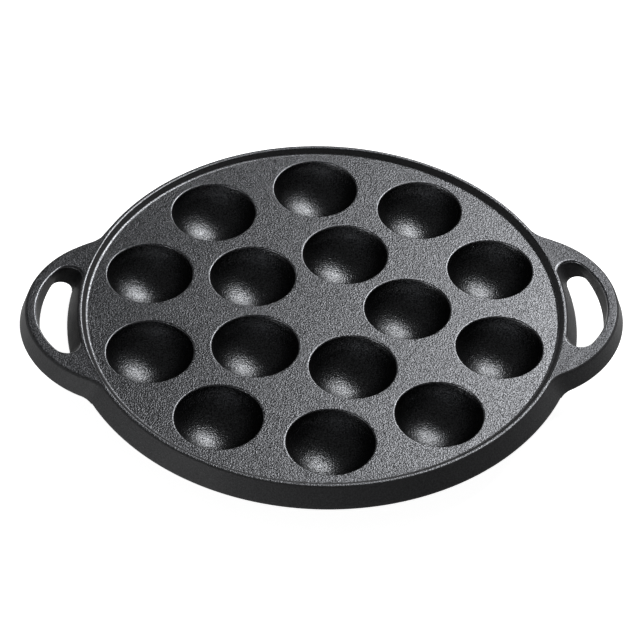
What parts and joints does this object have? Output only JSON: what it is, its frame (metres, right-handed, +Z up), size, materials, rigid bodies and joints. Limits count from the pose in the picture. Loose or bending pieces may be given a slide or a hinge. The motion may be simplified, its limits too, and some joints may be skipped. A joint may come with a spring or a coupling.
{
  "type": "takoyaki pan",
  "caption": "Round cast-iron takoyaki pan: a flat plate with two rings of round wells, a low sloped rim, a flared skirt and a loop handle on each side.",
  "frame": {"origin": "under the centre of the pan, on the plane that the flat feet of the wells stand on", "axes": "+X from the left handle to the right handle, +Y away from the user, +Z up, out of the wells"},
  "size_m": [0.2942, 0.2484, 0.0259],
  "materials": {
    "cooking_surface": "fine-grained bare seasoned iron, satin",
    "rim_iron": "fine-grained bare seasoned iron, satin, edges worn brighter",
    "skirt_iron": "smooth cast side with faint casting marks, dull",
    "handle_iron": "fine-grained cast iron, satin",
    "well_iron": "smooth oiled iron, nearly black"
  },
  "bodies": {
    "root": {"cooking_plate": "cooking_surface", "rim": "rim_iron", "skirt": "skirt_iron", "handle_right": "handle_iron", "handle_left": "handle_iron", "well_01": "well_iron", "well_02": "well_iron", "well_03": "well_iron", "well_04": "well_iron", "well_05": "well_iron", "well_06": "well_iron", "well_07": "well_iron", "well_08": "well_iron", "well_09": "well_iron", "well_10": "well_iron", "well_11": "well_iron", "well_12": "well_iron", "well_13": "well_iron", "well_14": "well_iron", "well_15": "well_iron"}
  },
  "joints": []
}
